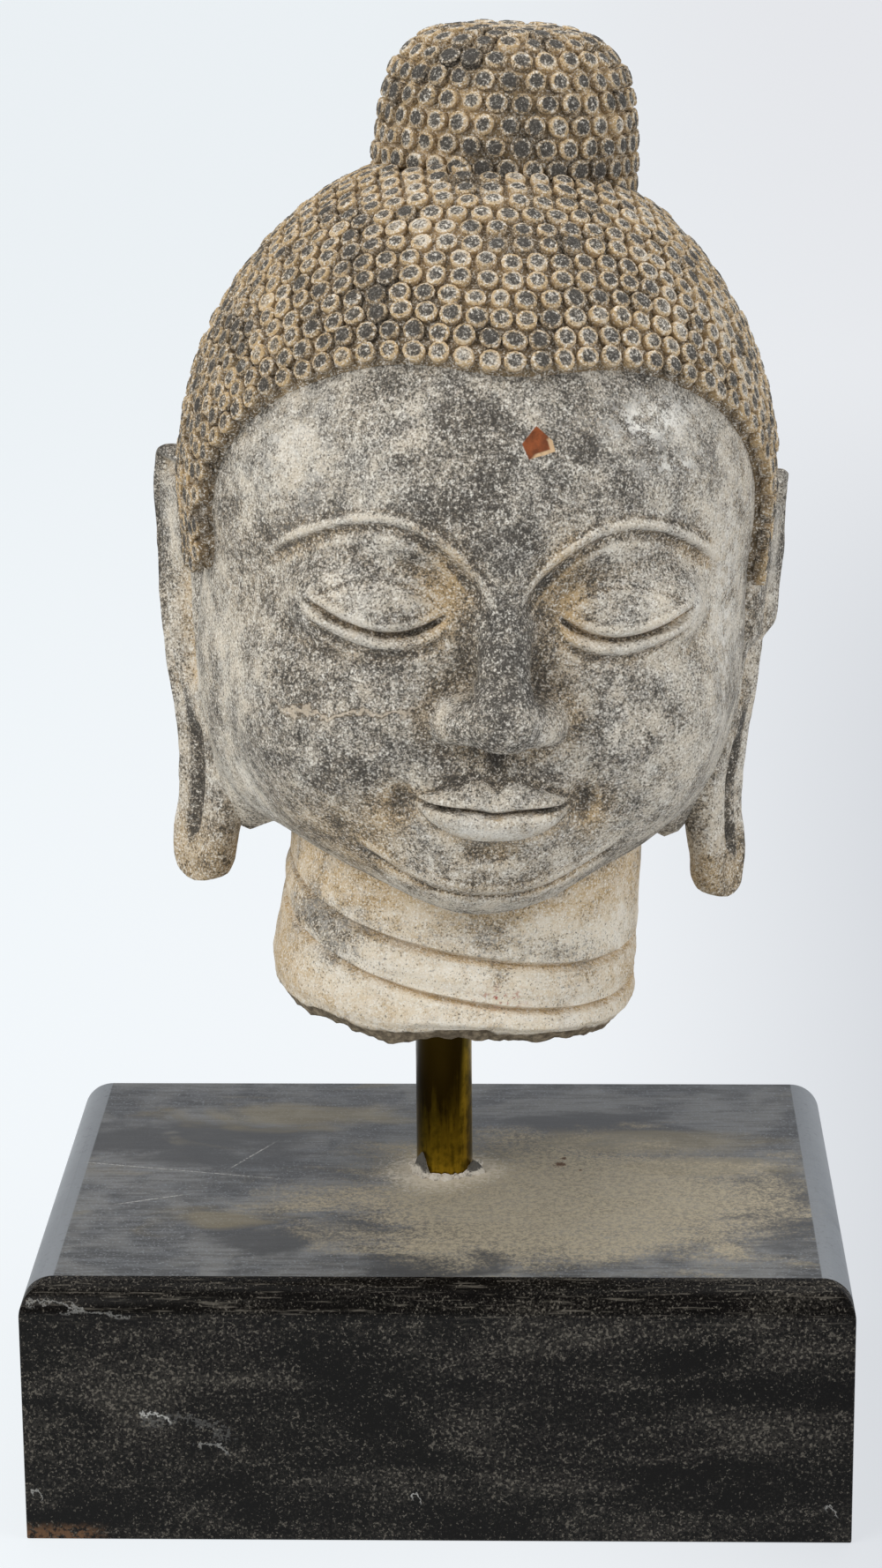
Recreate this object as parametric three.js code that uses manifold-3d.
// Carved stone Buddha head, broken at the neck, raised on a brass rod above a black granite plinth.
// Millimetres, +Z up, and the face looks along -Y. The origin is the centre of the plinth's underside.
import * as THREE from 'three';
import { mergeVertices } from 'three/addons/utils/BufferGeometryUtils.js';
import Module from 'manifold-3d';

const wasm = await Module();
wasm.setup();

const { degToRad, clamp, smoothstep } = THREE.MathUtils;

// ---------------------------------------------------------------- driving dimensions

const GAP = 0.3; // clearance between pieces that touch
const PLINTH = { width: 356, depth: 254, height: 117, edgeRadius: 14, edgeSteps: 6, footWear: 1 };
const ROD = { diameter: 25.4, y: 15, sides: 24, intoPlinth: 60, intoHead: 90 };
const PLASTER = { wall: 3.5, height: 2.2, steps: 20, shardHeight: 9.5, lumpHeight: 3, lumpReach: 3 };
const HEAD = { x: 4, y: 14, z: 203, yaw: 7, roll: 3 }; // neck break's centre, and its turn in degrees

// The head has its own frame: x to the right, -y out of the face, z up from the neck break.
// Each mass is an ellipsoid with its centre, radii and the reach over which it melts into the rest.
const SKULL = { at: [0, 0, 238], radii: [122.5, 131, 134] };
const LOWER_FACE = { at: [0, -22, 156], radii: [107, 90, 90], blend: 36 };
const EAR_ROOT = { at: [83, -8, 143], radii: [29, 37, 52], blend: 30 }; // joins cheek and ear
const JAWBONE = { at: [0, -36, 114], radii: [82, 72, 45], blend: 30 };
const LOBE_WEB = { at: [93, 8, 106], radii: [17, 18, 34], blend: 14 };
const CHEEK = { at: [50, -74, 150], radii: [47, 44, 46], blend: 30 };
const CHIN = { at: [0, -86, 99], radii: [38, 32, 31], blend: 30 };
const MUZZLE = { at: [0, -97, 128], radii: [36, 27, 30], blend: 18 };
const EYE_HOLLOW = { at: [43, -143, 210], radii: [43, 27, 22], blend: 9 };
const EYELID = { at: [49, -91, 203], radii: [39, 33, 27], blend: 5 };
const NOSE_TIP = { at: [0, -140, 161], radii: [15, 15, 12.5], blend: 8 };
const NOSTRIL = { at: [16, -126, 158], radii: [11.5, 15, 10.5], blend: 8 };
const BRIDGE = { root: [0, -119, 228], rootRadius: 8.5, tip: [0, -139, 164], tipRadius: 12 };
const NOSE = { base: 149, blend: 8, baseBlend: 4 };

const BROW = { crest: 50, height: 241, innerFall: 27, innerReach: 42, outerFall: 20, outerReach: 44 };
const EYE = {
  inner: 24, outer: 80, slit: 200.5, slitRise: 3.5, slitSag: 9.5, fold: 203.5, foldArch: 10.5,
};
const MOUTH = { z: 121, halfWidth: 34, upper: 12.5, lower: 14.5, cornerLift: 2.5 };
const CHIN_ARC = { z: 79, rise: 17, halfWidth: 52 };

const FACE_CENTRE = [0, -8, 190]; // the rays that carve the face leave from here
const FACE_COLUMNS = [[0, 11], [28, 6], [70, 4], [112, 3], [180, 0]]; // azimuth, steps to the next
const JAW = { z: 72, rise: 26, underSteps: 3 };
const FOREHEAD = { z: 300, crownSteps: 3 };

const HAIR = {
  centre: [0, 0, 238], tilt: 40, edge: 97, browDrop: 5, browReach: 17,
  earDrop: 5, earFrom: 45, earReach: 40, lockDrop: 12, lockAt: 88, lockReach: 10,
  lift: 4.5, rows: 19, pitch: 13.4, valley: 0.6, peak: 4.4,
};
const TOPKNOT = { x: 8, y: 18, base: 345, top: 429, radius: 57.5, roundness: 3.6, rows: 9, pitch: 13.2 };

const NECK = {
  y: 6, top: 152, lowWidth: 80, highWidth: 71, depth: 76, squareness: 2.3, lean: 0.05, steps: 30,
  bulge: 2.4, creaseDepth: 3.2, creaseHalf: 2.6,
};
const LOWER_CREASE = { front: 17, slope: 0.16, backRise: 28 };
const UPPER_CREASE = { front: 37, slope: 0.15, backRise: 24 };
const BREAK = { edge: 4, tilt: 0.02, lip: 0.88, lipDrop: 5.5, core: 0.5, coreZ: -3 };

// Ear stations: height, outer face's x at the front and back edges, middle y, half width, thickness.
const EAR_STATIONS = [
  [47, 112.5, 121, 10, 6, 7],
  [50, 110.5, 125, 10, 10.5, 12],
  [58, 109.5, 127.5, 10, 14, 15.5],
  [68, 109, 128.5, 9.5, 16, 16],
  [84, 107, 126.5, 9, 16.5, 17],
  [102, 107, 126.5, 8.5, 17, 18],
  [122, 110, 129, 8.5, 19.5, 19],
  [145, 114.5, 134, 10, 23, 20],
  [168, 117, 137, 12.5, 26.5, 21],
  [190, 118, 139, 15.5, 29.5, 21],
  [208, 120, 140.5, 18, 30.5, 20],
  [222, 122, 141, 20.5, 28, 19],
  [233, 125, 140, 23, 21.5, 17],
  [239, 128, 138, 24.5, 14, 13],
  [242, 130, 136, 25, 7, 8],
];
const EAR = {
  rows: 19, outerPoints: 12, innerPoints: 4, corner: 6,
  rim: 2.4, rimIn: 3.5, groove: 3.4, grooveIn: 10, upperFrom: 125,
  hollow: 7, hollowAcross: -0.12, hollowLow: 132, hollowHigh: 198,
  slot: 3.2, slotLow: 66, slotHigh: 124,
  rightDrop: 4, rightFlare: 8, rightStep: 6, rightStepLow: 163, rightStepHigh: 175,
};

const STONE = { color: 0xb3aa9a, roughness: 0.9, metalness: 0 };
const BRASS = { color: 0x6b5520, roughness: 0.42, metalness: 0.9 };
const GRANITE = { color: 0x2b2c2e, roughness: 0.5, metalness: 0 };
const WHITE_PLASTER = { color: 0xcfc9bf, roughness: 0.95, metalness: 0 };

// ---------------------------------------------------------------- small mathematics

/** Smooth minimum of two distances, melting them together over the reach k. */
function melt(a, b, k) {
  const h = Math.max(k - Math.abs(a - b), 0) / k;
  return Math.min(a, b) - h * h * k * 0.25;
}

/** Smooth maximum of two distances, which cuts one form by another. */
function carve(a, b, k) {
  return -melt(-a, -b, k);
}

/** Approximate distance from (x, y, z) to an ellipsoid. */
function ellipsoid(mass, x, y, z) {
  const [cx, cy, cz] = mass.at;
  const [rx, ry, rz] = mass.radii;
  const near = Math.hypot((x - cx) / rx, (y - cy) / ry, (z - cz) / rz);
  const slope = Math.hypot((x - cx) / rx ** 2, (y - cy) / ry ** 2, (z - cz) / rz ** 2);
  return (near * (near - 1)) / Math.max(slope, 1e-9);
}

/** Distance from (x, y, z) to a rod with round ends whose radius changes evenly. */
function taperedRod(rod, x, y, z) {
  const start = new THREE.Vector3(...rod.root);
  const line = new THREE.Vector3(...rod.tip).sub(start);
  const point = new THREE.Vector3(x, y, z).sub(start);
  const along = clamp(point.dot(line) / line.lengthSq(), 0, 1);
  const radius = rod.rootRadius + (rod.tipRadius - rod.rootRadius) * along;
  return point.addScaledVector(line, -along).length() - radius;
}

/** A smooth bump, 1 at zero and nothing past the half width. */
function bump(distance, halfWidth) {
  const t = Math.min(Math.abs(distance) / halfWidth, 1);
  return (1 - t * t) ** 2;
}

/** Power of a signed number that keeps its sign. */
function signedPower(value, power) {
  return Math.sign(value) * Math.abs(value) ** power;
}

/** Values from a list of [value, steps to the next value]. */
function spread(stops) {
  const values = [];
  for (let k = 0; k + 1 < stops.length; k += 1) {
    const [from, steps] = stops[k];
    const to = stops[k + 1][0];
    for (let i = 0; i < steps; i += 1) values.push(from + ((to - from) * i) / steps);
  }
  values.push(stops[stops.length - 1][0]);
  return values;
}

/** The row of a table at a height, in a straight line between its stations. */
function stationAt(table, height) {
  let k = 0;
  while (k + 2 < table.length && table[k + 1][0] < height) k += 1;
  const t = clamp((height - table[k][0]) / (table[k + 1][0] - table[k][0]), 0, 1);
  return table[k].map((value, i) => value + (table[k + 1][i] - value) * t);
}

// ---------------------------------------------------------------- solids from rings

/** Triangles between two rings of points. The diagonals prefer to join points that lie low. */
function stitch(below, belowStart, above, aboveStart, index) {
  const belowSteps = below.length > 1 ? below.length : 0;
  const aboveSteps = above.length > 1 ? above.length : 0;
  const cost = (p, q) => p.distanceTo(q) + (p.proud && q.proud ? HAIR.pitch : 0);
  let i = 0;
  let j = 0;
  while (i < belowSteps || j < aboveSteps) {
    const a = i % below.length;
    const b = j % above.length;
    const nextA = (i + 1) % below.length;
    const nextB = (j + 1) % above.length;
    const canBelow = i < belowSteps;
    const canAbove = j < aboveSteps;
    const belowIsBetter = cost(below[nextA], above[b]) <= cost(below[a], above[nextB]);
    if (canBelow && (!canAbove || belowIsBetter)) {
      index.push(belowStart + a, belowStart + nextA, aboveStart + b);
      i += 1;
    } else {
      index.push(belowStart + a, aboveStart + nextB, aboveStart + b);
      j += 1;
    }
  }
}

/** Closed skin over a stack of rings, anticlockwise from above. A ring of one point closes an end. */
function skin(rings) {
  const position = [];
  const index = [];
  let start = 0;
  rings.forEach((ring, k) => {
    ring.forEach((point) => position.push(point.x, point.y, point.z));
    if (k > 0) stitch(rings[k - 1], start - rings[k - 1].length, ring, start, index);
    start += ring.length;
  });
  const geometry = new THREE.BufferGeometry();
  geometry.setAttribute('position', new THREE.Float32BufferAttribute(position, 3));
  geometry.setIndex(index);
  return geometry;
}

/** A manifold solid from a closed geometry. */
function toSolid(geometry) {
  const bare = geometry.clone();
  bare.deleteAttribute('normal');
  bare.deleteAttribute('uv');
  const merged = mergeVertices(bare, 1e-4);
  return new wasm.Manifold(new wasm.Mesh({
    numProp: 3,
    vertProperties: new Float32Array(merged.attributes.position.array),
    triVerts: new Uint32Array(merged.index.array),
  }));
}

/** A geometry from a manifold solid. */
function toGeometry(solid) {
  const mesh = solid.getMesh();
  const geometry = new THREE.BufferGeometry();
  geometry.setAttribute('position', new THREE.BufferAttribute(mesh.vertProperties.slice(), 3));
  geometry.setIndex(new THREE.BufferAttribute(mesh.triVerts.slice(), 1));
  geometry.computeVertexNormals();
  return geometry;
}

/** A named mesh with a material of its own. */
function piece(name, geometry, look) {
  const mesh = new THREE.Mesh(geometry, new THREE.MeshStandardMaterial(look));
  mesh.name = name;
  return mesh;
}

/** An upright round bar about the rod's axis. */
function rodBar(radius, bottom, top) {
  const bar = new THREE.CylinderGeometry(radius, radius, top - bottom, ROD.sides);
  bar.rotateX(Math.PI / 2);
  bar.translate(0, ROD.y, (top + bottom) / 2);
  return bar;
}

// ---------------------------------------------------------------- the carved face

/** Distance to the plain masses of the skull and face, before the fine carving. */
function masses(x, y, z) {
  const side = Math.abs(x);
  let m = ellipsoid(SKULL, x, y, z);
  m = melt(m, ellipsoid(LOWER_FACE, x, y, z), LOWER_FACE.blend);
  m = melt(m, ellipsoid(JAWBONE, x, y, z), JAWBONE.blend);
  m = melt(m, ellipsoid(EAR_ROOT, side, y, z), EAR_ROOT.blend);
  m = melt(m, ellipsoid(LOBE_WEB, side, y, z), LOBE_WEB.blend);
  m = melt(m, ellipsoid(CHEEK, side, y, z), CHEEK.blend);
  m = melt(m, ellipsoid(CHIN, x, y, z), CHIN.blend);
  m = melt(m, ellipsoid(MUZZLE, x, y, z), MUZZLE.blend);
  m = carve(m, -ellipsoid(EYE_HOLLOW, side, y, z), EYE_HOLLOW.blend);
  m = melt(m, ellipsoid(EYELID, side, y, z), EYELID.blend);
  let nose = taperedRod(BRIDGE, x, y, z);
  nose = melt(nose, ellipsoid(NOSE_TIP, x, y, z), NOSE_TIP.blend);
  nose = melt(nose, ellipsoid(NOSTRIL, side, y, z), NOSTRIL.blend);
  nose = carve(nose, NOSE.base - z, NOSE.baseBlend);
  return melt(m, nose, NOSE.blend);
}

/** The brow's place across its arch and the height of its line at a distance from the middle. */
function browLine(side) {
  const inner = side < BROW.crest;
  const reach = inner ? BROW.innerReach : BROW.outerReach;
  const fall = inner ? BROW.innerFall : BROW.outerFall;
  const t = (side - BROW.crest) / reach;
  return { height: BROW.height - fall * t * t, slope: (2 * fall * Math.abs(t)) / reach };
}

/** Heights of the slit between the lids and of the fold above it. */
function lidLines(side) {
  const s = clamp((side - EYE.inner) / (EYE.outer - EYE.inner), 0, 1);
  return {
    slit: EYE.slit + EYE.slitRise * s - EYE.slitSag * Math.sin(Math.PI * s ** 0.85),
    fold: EYE.fold + 2.5 * s + EYE.foldArch * Math.sin(Math.PI * s ** 0.9),
  };
}

/** Heights of the top of the upper lip, the line between the lips and the foot of the lower lip. */
function lipLines(side) {
  const s = Math.min(side / MOUTH.halfWidth, 1);
  const lift = MOUTH.cornerLift * s ** 2.5;
  const bow = 1.8 * Math.exp(-(((side - 8) / 5) ** 2)) - 2.5 * Math.exp(-((side / 3.5) ** 2));
  return {
    top: MOUTH.z + MOUTH.upper * (1 - s ** 1.7) ** 0.8 + bow + lift,
    line: MOUTH.z + lift - 1.2 * Math.exp(-((side / 6) ** 2)),
    foot: MOUTH.z - MOUTH.lower * (1 - s ** 2.3) ** 0.75 + lift,
  };
}

/** Height of the brow, a sharp arris with a groove under it. */
function browRelief(side, z) {
  const { height, slope } = browLine(side);
  const off = (z - height) / Math.hypot(1, slope);
  const along = smoothstep(side, 3, 12) * (1 - smoothstep(side, 84, 99));
  return (1.9 * bump(off, 3.2) - 1.3 * bump(off + 5, 4)) * along;
}

/** Height of the lowered lids: the slit, the rims on both sides of it and the fold above. */
function lidRelief(side, z) {
  const { slit, fold } = lidLines(side);
  const t = (side - EYE.inner) / (EYE.outer - EYE.inner);
  const inside = smoothstep(t, -0.03, 0.1) * (1 - smoothstep(t, 0.88, 1.05));
  const off = z - slit;
  const rims = 1.5 * bump(off - 4.2, 3) + 1.7 * bump(off + 4.4, 3.2);
  const cuts = 3 * bump(off, 2.6) + 1.2 * bump(off + 8.6, 3.2) + 0.8 * bump(z - fold, 2.2);
  return (rims - cuts) * inside;
}

/** Height of the closed lips, their corners and the two hollows above and below them. */
function mouthRelief(side, z) {
  const { top, line, foot } = lipLines(side);
  const ends = 1 - smoothstep(side, MOUTH.halfWidth - 9, MOUTH.halfWidth);
  const swell = (share, start) => ends * Math.sin(Math.PI * (start + (1 - start) * share)) ** 0.6;
  let h = 0;
  if (z > line && z < top) h += 5.5 * swell((z - line) / (top - line), 0.22);
  if (z <= line && z > foot) h += 6.5 * swell((line - z) / (line - foot), 0.2);
  h -= 3.2 * bump(z - line, 1.8) * (1 - smoothstep(side, MOUTH.halfWidth - 6, MOUTH.halfWidth + 3));
  h -= 4 * bump(Math.hypot(side - MOUTH.halfWidth - 2.5, (z - MOUTH.z - 2) * 0.8), 9);
  const philtrum = smoothstep(z, 132, 137) * (1 - smoothstep(z, 146, 151));
  h += (bump(side - 6.5, 3) - 2 * bump(side, 4.5)) * philtrum;
  h -= 3.5 * bump(Math.hypot(side * 0.45, z - 101.5), 8);
  return h;
}

/** Height of the shallow arc that is cut under the chin. */
function chinRelief(side, z) {
  const off = z - (CHIN_ARC.z + CHIN_ARC.rise * (side / CHIN_ARC.halfWidth) ** 2);
  const ends = 1 - smoothstep(side, CHIN_ARC.halfWidth - 8, CHIN_ARC.halfWidth + 6);
  return (0.9 * bump(off - 4, 3) - 1.6 * bump(off, 2.4)) * ends;
}

/** Distance to the finished face. */
function faceField(x, y, z) {
  const front = smoothstep(-y, 20, 60);
  if (front === 0) return masses(x, y, z);
  const side = Math.abs(x);
  const relief = browRelief(side, z) + lidRelief(side, z) + mouthRelief(side, z) + chinRelief(side, z);
  return masses(x, y, z) - relief * front;
}

/** The outermost point of a field along a ray: coarse steps inwards, then halving. */
function castRay(field, centre, direction, level) {
  const at = (t) => field(
    centre[0] + direction.x * t, centre[1] + direction.y * t, centre[2] + direction.z * t,
  ) - level;
  const stride = 6;
  let inner = 230;
  while (inner > stride && at(inner) > 0) inner -= stride;
  let outer = inner + stride;
  for (let k = 0; k < 16; k += 1) {
    const middle = (inner + outer) / 2;
    if (at(middle) > 0) outer = middle;
    else inner = middle;
  }
  return new THREE.Vector3(...centre).addScaledVector(direction, inner);
}

/** Heights of the carved lines from the jaw to the forehead, each with the steps up to the next. */
function carvedLines(side, azimuth) {
  const { slit, fold } = lidLines(side);
  const { top, line, foot } = lipLines(side);
  const beside = smoothstep(side, MOUTH.halfWidth - 8, MOUTH.halfWidth + 20);
  const inEye = smoothstep(side, EYE.inner - 12, EYE.inner) - smoothstep(side, EYE.outer, EYE.outer + 12);
  const openFold = fold + 5 * (1 - inEye);
  const brow = browLine(clamp(side, 13, 90)).height;
  return [
    [JAW.z + JAW.rise * (1 - Math.cos(azimuth)), 1],
    [Math.min(CHIN_ARC.z + CHIN_ARC.rise * (side / CHIN_ARC.halfWidth) ** 2, 104), 3],
    [Math.min(foot, line - 3 - 7 * beside), 2],
    [line, 2],
    [Math.max(top, line + 3 + 6 * beside), 3],
    [NOSE.base, 4],
    [slit - 8.6, 1],
    [slit - 4.4, 1],
    [slit, 1],
    [slit + Math.min(4.2, (openFold - slit) / 2), 1],
    [openFold, 2],
    [brow - 5, 1],
    [brow, 1],
    [brow + 4, 4],
    [FOREHEAD.z, 0],
  ];
}

/** Points up one azimuth of the face, from the pole below to the pole above. */
function faceColumn(azimuth) {
  const outwards = new THREE.Vector3(Math.sin(azimuth), -Math.cos(azimuth), 0);
  const [centreX, centreY, centreZ] = FACE_CENTRE;
  const level = (row) => {
    let side = SKULL.radii[0] * Math.abs(outwards.x);
    let point = null;
    for (let pass = 0; pass < 3; pass += 1) {
      const height = spread(carvedLines(side, azimuth))[row];
      point = castRay(faceField, [centreX, centreY, height], outwards, 0);
      side = Math.abs(point.x);
    }
    return point;
  };
  const slanted = (elevation) => {
    const direction = outwards.clone().multiplyScalar(Math.cos(elevation)).setZ(Math.sin(elevation));
    return castRay(faceField, FACE_CENTRE, direction, 0);
  };
  const elevationOf = ({ x, y, z }) => Math.atan2(z - centreZ, Math.hypot(x - centreX, y - centreY));
  const count = spread(carvedLines(0, 0)).length;
  const column = Array.from({ length: count }, (_, row) => level(row));
  const lowest = elevationOf(column[0]);
  const highest = elevationOf(column[count - 1]);
  for (let step = 1; step <= JAW.underSteps; step += 1) {
    column.unshift(slanted(lowest + ((-Math.PI / 2 - lowest) * step) / JAW.underSteps));
  }
  for (let step = 1; step <= FOREHEAD.crownSteps; step += 1) {
    column.push(slanted(highest + ((Math.PI / 2 - highest) * step) / FOREHEAD.crownSteps));
  }
  return column;
}

/** Skull and face as one closed skin whose rows of facets follow the brows, lids and lips. */
function faceGeometry() {
  const half = spread(FACE_COLUMNS);
  const azimuths = [...half.slice(1).reverse().map((angle) => -angle), ...half.slice(0, -1)];
  const columns = azimuths.map((azimuth) => faceColumn(degToRad(azimuth)));
  const last = columns[0].length - 1;
  return skin(columns[0].map((_, row) => (
    row === 0 || row === last ? [columns[0][row]] : columns.map((column) => column[row])
  )));
}

// ---------------------------------------------------------------- the curled hair

/** Angle of the hairline from the hair's axis, with a pointed lock before each ear. */
function hairEdge(azimuth) {
  const side = Math.abs(azimuth);
  const brow = HAIR.browDrop * Math.exp(-((azimuth / HAIR.browReach) ** 2));
  const lock = HAIR.lockDrop * Math.exp(-(((side - HAIR.lockAt) / HAIR.lockReach) ** 2));
  const ear = HAIR.earDrop * smoothstep(side, HAIR.earFrom, HAIR.earFrom + HAIR.earReach);
  return HAIR.edge + brow + lock + ear;
}

/** Cap of hair: rings of points that stand proud and lie low by turns, closed to the head's middle. */
function hairGeometry() {
  const axis = new THREE.Vector3(0, Math.sin(degToRad(HAIR.tilt)), Math.cos(degToRad(HAIR.tilt)));
  const right = new THREE.Vector3(1, 0, 0);
  const back = new THREE.Vector3().crossVectors(axis, right);
  const rings = [[new THREE.Vector3(...HAIR.centre)]];
  for (let row = HAIR.rows; row >= 0; row -= 1) {
    const share = row / HAIR.rows;
    const radius = SKULL.radii[0] + HAIR.lift;
    const turn = 2 * Math.PI * radius * Math.sin(degToRad(HAIR.edge * share));
    const studs = Math.max(Math.round(turn / HAIR.pitch), row === 0 ? 0.5 : 4);
    const ring = [];
    for (let i = 0; i < 2 * studs; i += 1) {
      const around = ((i + (row % 2)) / (2 * studs)) * 360 + 90; // the rings start at the back
      const polar = degToRad(hairEdge(((around + 270) % 360) - 180) * share);
      const direction = axis.clone().multiplyScalar(Math.cos(polar));
      direction.addScaledVector(right, Math.sin(polar) * Math.cos(degToRad(around)));
      direction.addScaledVector(back, Math.sin(polar) * Math.sin(degToRad(around)));
      const proud = i % 2 === 0 && row < HAIR.rows;
      const level = HAIR.lift + (proud ? HAIR.peak : HAIR.valley);
      const point = castRay(masses, HAIR.centre, direction, level);
      point.proud = proud;
      ring.push(point);
    }
    rings.push(ring);
  }
  return skin(rings);
}

/** Outline of the topknot from its foot to the middle of its top. */
class TopknotProfile extends THREE.Curve {
  getPoint(t, target = new THREE.Vector2()) {
    const angle = (t * Math.PI) / 2;
    const power = 2 / TOPKNOT.roundness;
    const radius = TOPKNOT.radius * Math.max(Math.cos(angle), 0) ** power;
    const height = TOPKNOT.base + (TOPKNOT.top - HAIR.peak - TOPKNOT.base) * Math.sin(angle) ** power;
    return target.set(radius, height);
  }
}

/** The topknot, a round drum of the same curls. */
function topknotGeometry() {
  const profile = new TopknotProfile().getSpacedPoints(TOPKNOT.rows);
  const rings = [[new THREE.Vector3(TOPKNOT.x, TOPKNOT.y, TOPKNOT.base - HAIR.pitch)]];
  profile.forEach((station, row) => {
    const last = row === profile.length - 1;
    const next = profile[Math.min(row + 1, profile.length - 1)];
    const before = profile[Math.max(row - 1, 0)];
    const outwards = new THREE.Vector2(next.y - before.y, before.x - next.x).normalize();
    const studs = Math.max(Math.round((2 * Math.PI * station.x) / TOPKNOT.pitch), 4);
    const ring = [];
    for (let i = 0; i < (last ? 1 : 2 * studs); i += 1) {
      const proud = i % 2 === 0 && row > 0;
      const lift = proud ? HAIR.peak : HAIR.valley;
      const around = ((i + (row % 2)) / (2 * studs)) * 2 * Math.PI;
      const radius = last ? 0 : station.x + outwards.x * lift - HAIR.peak;
      const point = new THREE.Vector3(
        TOPKNOT.x + radius * Math.cos(around),
        TOPKNOT.y + radius * Math.sin(around),
        station.y + (last ? lift : outwards.y * lift),
      );
      point.proud = proud;
      ring.push(point);
    }
    rings.push(ring);
  });
  return skin(rings);
}

// ---------------------------------------------------------------- neck and ears

/** Height of a neck crease at a point's azimuth from the front and its x. */
function creaseHeight(crease, azimuth, x) {
  return crease.front - crease.slope * x + (crease.backRise * (1 - Math.cos(azimuth))) / 2;
}

/** Height of the broken lower edge, chipped unevenly around. */
function breakHeight(azimuth, x) {
  const chips = 1.3 * Math.sin(5 * azimuth + 1) + 0.9 * Math.sin(9 * azimuth + 2.3);
  return BREAK.edge - BREAK.tilt * x + chips;
}

/** A ring of the neck: a share of the section's size and the height at each azimuth. */
function neckRing(share, heightAt, outwards) {
  const ring = [];
  for (let i = 0; i < NECK.steps; i += 1) {
    const azimuth = (i / NECK.steps) * 2 * Math.PI;
    const unitX = signedPower(Math.sin(azimuth), 2 / NECK.squareness);
    const unitY = -signedPower(Math.cos(azimuth), 2 / NECK.squareness);
    const z = heightAt(azimuth, NECK.lowWidth * unitX);
    const width = NECK.lowWidth + ((NECK.highWidth - NECK.lowWidth) * clamp(z, 0, NECK.top)) / NECK.top;
    const x = NECK.lean * z + (width + outwards) * share * unitX;
    ring.push(new THREE.Vector3(x, NECK.y + (NECK.depth + outwards) * share * unitY, z));
  }
  return ring;
}

/** The neck: three soft bands between two cut creases, over an uneven break. */
function neckGeometry() {
  const edge = (azimuth, x) => breakHeight(azimuth, x);
  const lower = (azimuth, x) => creaseHeight(LOWER_CREASE, azimuth, x);
  const upper = (azimuth, x) => creaseHeight(UPPER_CREASE, azimuth, x);
  const top = () => NECK.top;
  const between = (from, to, t) => (azimuth, x) => from(azimuth, x) * (1 - t) + to(azimuth, x) * t;
  const shifted = (line, by) => (azimuth, x) => line(azimuth, x) + by;
  const rings = [
    [new THREE.Vector3(0, NECK.y, BREAK.coreZ)],
    neckRing(BREAK.core, () => BREAK.coreZ, 0),
    neckRing(BREAK.lip, shifted(edge, -BREAK.lipDrop), 0),
    neckRing(1, edge, 0),
    neckRing(1, between(edge, lower, 0.45), NECK.bulge),
  ];
  for (const [line, next] of [[lower, upper], [upper, top]]) {
    rings.push(neckRing(1, shifted(line, -NECK.creaseHalf), NECK.bulge * 0.5));
    rings.push(neckRing(1, line, -NECK.creaseDepth));
    rings.push(neckRing(1, shifted(line, NECK.creaseHalf), NECK.bulge * 0.5));
    rings.push(neckRing(1, between(line, next, 0.5), NECK.bulge));
  }
  rings.push(neckRing(1, top, 0));
  rings.push([new THREE.Vector3(NECK.lean * NECK.top, NECK.y, NECK.top)]);
  return skin(rings);
}

/** Carving of the ear's outer face at a place across it (-1 front, 1 back) and a height. */
function earRelief(across, z, halfWidth) {
  const within = (low, high, soft) => (
    smoothstep(z, low, low + soft) * (1 - smoothstep(z, high - soft, high))
  );
  const toEdge = Math.min((1 - across) * halfWidth, EAR_STATIONS[EAR_STATIONS.length - 1][0] - z);
  const upper = smoothstep(z, EAR.upperFrom, EAR.upperFrom + 25);
  const rim = EAR.rim * bump(toEdge - EAR.rimIn, 6);
  const groove = EAR.groove * bump(toEdge - EAR.grooveIn, 6) * upper;
  const hollow = EAR.hollow * bump(across - EAR.hollowAcross, 0.42);
  const slot = EAR.slot * bump(across, 0.35) * within(EAR.slotLow, EAR.slotHigh, 8);
  return rim - groove - hollow * within(EAR.hollowLow, EAR.hollowHigh, 16) - slot;
}

/** Height of an ear's row: rows lie closer together at both ends. */
function earHeight(share) {
  const lowest = EAR_STATIONS[0][0];
  const highest = EAR_STATIONS[EAR_STATIONS.length - 1][0];
  const eased = 0.5 * share + 0.5 * (0.5 - 0.5 * Math.cos(Math.PI * share));
  return lowest + (highest - lowest) * eased;
}

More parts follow.
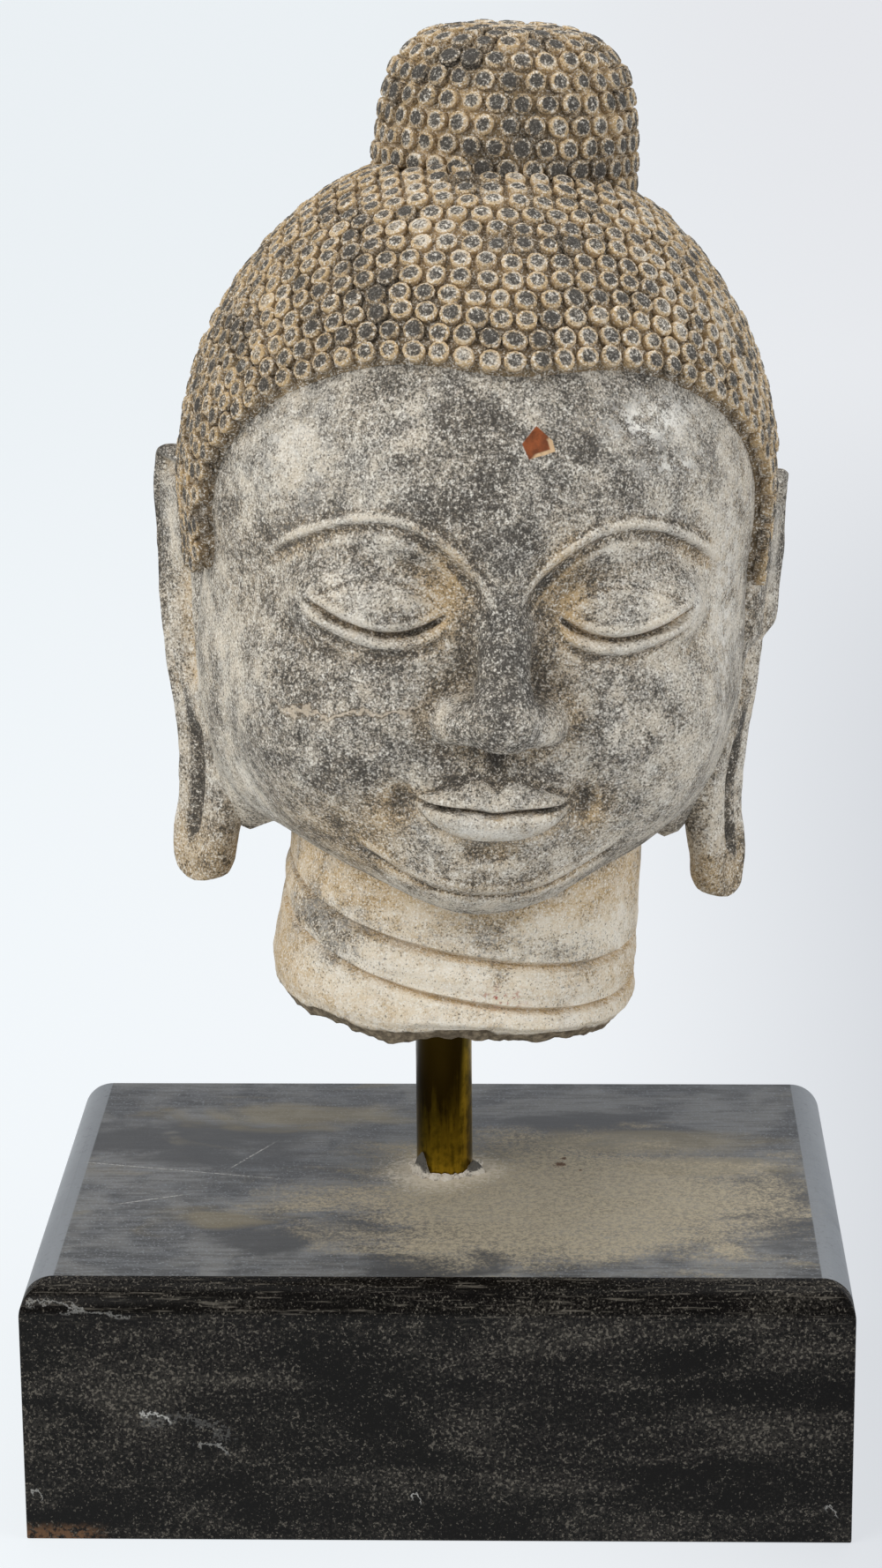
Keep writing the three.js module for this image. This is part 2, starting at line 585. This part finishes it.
/** One long ear on the side +1 or -1, a stack of flat sections with its lobe hanging free. */
function earGeometry(side) {
  const rings = [];
  for (let row = 0; row <= EAR.rows; row += 1) {
    const share = row / EAR.rows;
    const z = earHeight(share);
    const [, frontX, backX, middleY, halfWidth, thickness] = stationAt(EAR_STATIONS, z);
    const along = new THREE.Vector2((backX - frontX) / 2, halfWidth);
    const outwards = new THREE.Vector2(along.y, -along.x).normalize();
    const drop = side > 0 ? EAR.rightDrop : 0;
    const step = EAR.rightStep * smoothstep(z, EAR.rightStepLow, EAR.rightStepHigh);
    const flare = side > 0 ? EAR.rightFlare * (1 - share) + step : 0;
    const place = (across, inner) => {
      const round = Math.sqrt(1 - Math.abs(across) ** EAR.corner);
      const outer = (thickness * (round - 1)) / 2 + earRelief(across, z, halfWidth) * round;
      const depth = inner ? (-thickness * (1 + round)) / 2 : outer;
      const x = flare + (frontX + backX) / 2 + along.x * across + outwards.x * depth;
      return new THREE.Vector3(side * x, middleY + along.y * across + outwards.y * depth, z - drop);
    };
    const ring = [];
    for (let i = 0; i < EAR.outerPoints; i += 1) {
      ring.push(place(-Math.cos((Math.PI * i) / EAR.outerPoints), false));
    }
    for (let i = 0; i < EAR.innerPoints; i += 1) {
      ring.push(place(Math.cos((Math.PI * i) / EAR.innerPoints), true));
    }
    rings.push(side > 0 ? ring : ring.reverse());
  }
  const middle = (ring) => [
    ring.reduce((sum, point) => sum.add(point), new THREE.Vector3()).divideScalar(ring.length),
  ];
  return skin([middle(rings[0]), ...rings, middle(rings[rings.length - 1])]);
}

// ---------------------------------------------------------------- the four pieces

/** Head: one block of stone, drilled from below for the rod. */
function stoneHead() {
  const mesh = piece('stone_head', new THREE.BufferGeometry(), STONE);
  mesh.position.set(HEAD.x, HEAD.y, HEAD.z);
  mesh.rotation.set(0, degToRad(HEAD.roll), degToRad(HEAD.yaw), 'ZYX');
  mesh.updateMatrix();
  const socket = rodBar(ROD.diameter / 2 + GAP, HEAD.z - ROD.intoHead, HEAD.z + ROD.intoHead + GAP);
  socket.applyMatrix4(mesh.matrix.clone().invert());
  let block = toSolid(faceGeometry());
  const others = [hairGeometry(), topknotGeometry(), neckGeometry(), earGeometry(1), earGeometry(-1)];
  for (const part of others) block = block.add(toSolid(part));
  mesh.geometry = toGeometry(block.subtract(toSolid(socket)));
  return mesh;
}

/** Rod: a plain round bar that stands in the plinth and goes up into the neck. */
function brassRod() {
  const bar = rodBar(ROD.diameter / 2, PLINTH.height - ROD.intoPlinth, HEAD.z + ROD.intoHead);
  return piece('brass_rod', toGeometry(toSolid(bar)), BRASS);
}

/** Plinth: a granite block, its top edge rounded at the front and on both sides. */
function granitePlinth() {
  const level = (inset, backInset, z) => {
    const x = PLINTH.width / 2 - inset;
    const front = -PLINTH.depth / 2 + inset;
    const back = PLINTH.depth / 2 - backInset;
    const corners = [[-x, front], [x, front], [x, back], [-x, back]];
    return corners.map(([px, py]) => new THREE.Vector3(px, py, z));
  };
  const rings = [
    [new THREE.Vector3(0, 0, 0)],
    level(PLINTH.footWear, PLINTH.footWear, 0),
    level(0, 0, PLINTH.footWear),
  ];
  for (let step = 0; step <= PLINTH.edgeSteps; step += 1) {
    const angle = (step / PLINTH.edgeSteps) * (Math.PI / 2);
    const inset = PLINTH.edgeRadius * (1 - Math.cos(angle));
    rings.push(level(inset, 0, PLINTH.height - PLINTH.edgeRadius * (1 - Math.sin(angle))));
  }
  rings.push([new THREE.Vector3(0, 0, PLINTH.height)]);
  const hole = rodBar(ROD.diameter / 2 + GAP, PLINTH.height - ROD.intoPlinth - GAP, PLINTH.height + GAP);
  return piece('granite_plinth', toGeometry(toSolid(skin(rings)).subtract(toSolid(hole))), GRANITE);
}

/** Setting plaster: a crumbled collar around the rod's foot, with a tall shard at its left. */
function settingPlaster() {
  const floor = PLINTH.height + GAP;
  const shard = (around) => bump(around - degToRad(222), 0.55);
  const lump = (around) => bump(around - degToRad(338), 0.5);
  const ringAt = (reach, rise) => {
    const ring = [];
    for (let i = 0; i < PLASTER.steps; i += 1) {
      const around = (i / PLASTER.steps) * 2 * Math.PI;
      const crumble = 0.7 * Math.sin(3 * around + 1) + 0.5 * Math.sin(7 * around);
      const out = PLASTER.wall + crumble + PLASTER.lumpReach * lump(around);
      const radius = ROD.diameter / 2 + out * reach;
      const height = PLASTER.height + crumble * 0.5
        + PLASTER.shardHeight * shard(around) + PLASTER.lumpHeight * lump(around);
      ring.push(new THREE.Vector3(
        radius * Math.cos(around), ROD.y + radius * Math.sin(around), floor + height * rise,
      ));
    }
    return ring;
  };
  const rings = [
    [new THREE.Vector3(0, ROD.y, floor)], ringAt(1, 0), ringAt(0.75, 0.5), ringAt(0.25, 1),
    [new THREE.Vector3(0, ROD.y, floor + PLASTER.height)],
  ];
  const bore = rodBar(ROD.diameter / 2 + GAP, floor - PLASTER.height, floor + 2 * PLASTER.shardHeight);
  const collar = toSolid(skin(rings)).subtract(toSolid(bore));
  return piece('setting_plaster', toGeometry(collar), WHITE_PLASTER);
}

const model = new THREE.Group();
model.add(granitePlinth(), brassRod(), settingPlaster(), stoneHead());

export default model;
